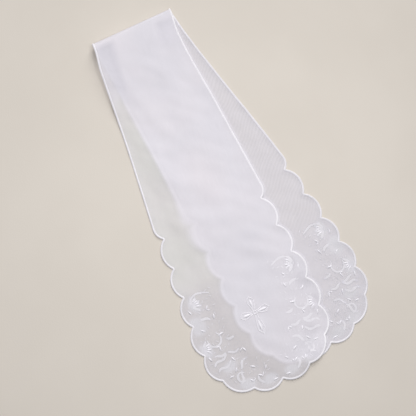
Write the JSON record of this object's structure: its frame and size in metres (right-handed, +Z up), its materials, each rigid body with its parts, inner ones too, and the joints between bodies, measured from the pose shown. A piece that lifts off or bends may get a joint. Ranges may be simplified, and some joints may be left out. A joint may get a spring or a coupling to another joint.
{
  "type": "baptism stole",
  "caption": "Sheer white baptism stole with scalloped, embroidered ends and a satin-stitched edge, folded once and laid flat.",
  "frame": {"origin": "under the middle of the whole stole's box, on the surface it lies on", "axes": "+Y from the scalloped ends to the fold, +Z up from the surface, +X to the side on which the lower limb shows"},
  "size_m": [0.1868, 0.3896, 0.0135],
  "materials": {
    "organza": "sheer white organza, plain weave, with a soft silky sheen",
    "satin_thread": "bright white rayon thread laid in dense satin stitch"
  },
  "bodies": {
    "root": {"organza_band": "organza", "satin_edging": "satin_thread", "satin_cross": "satin_thread"}
  },
  "joints": []
}
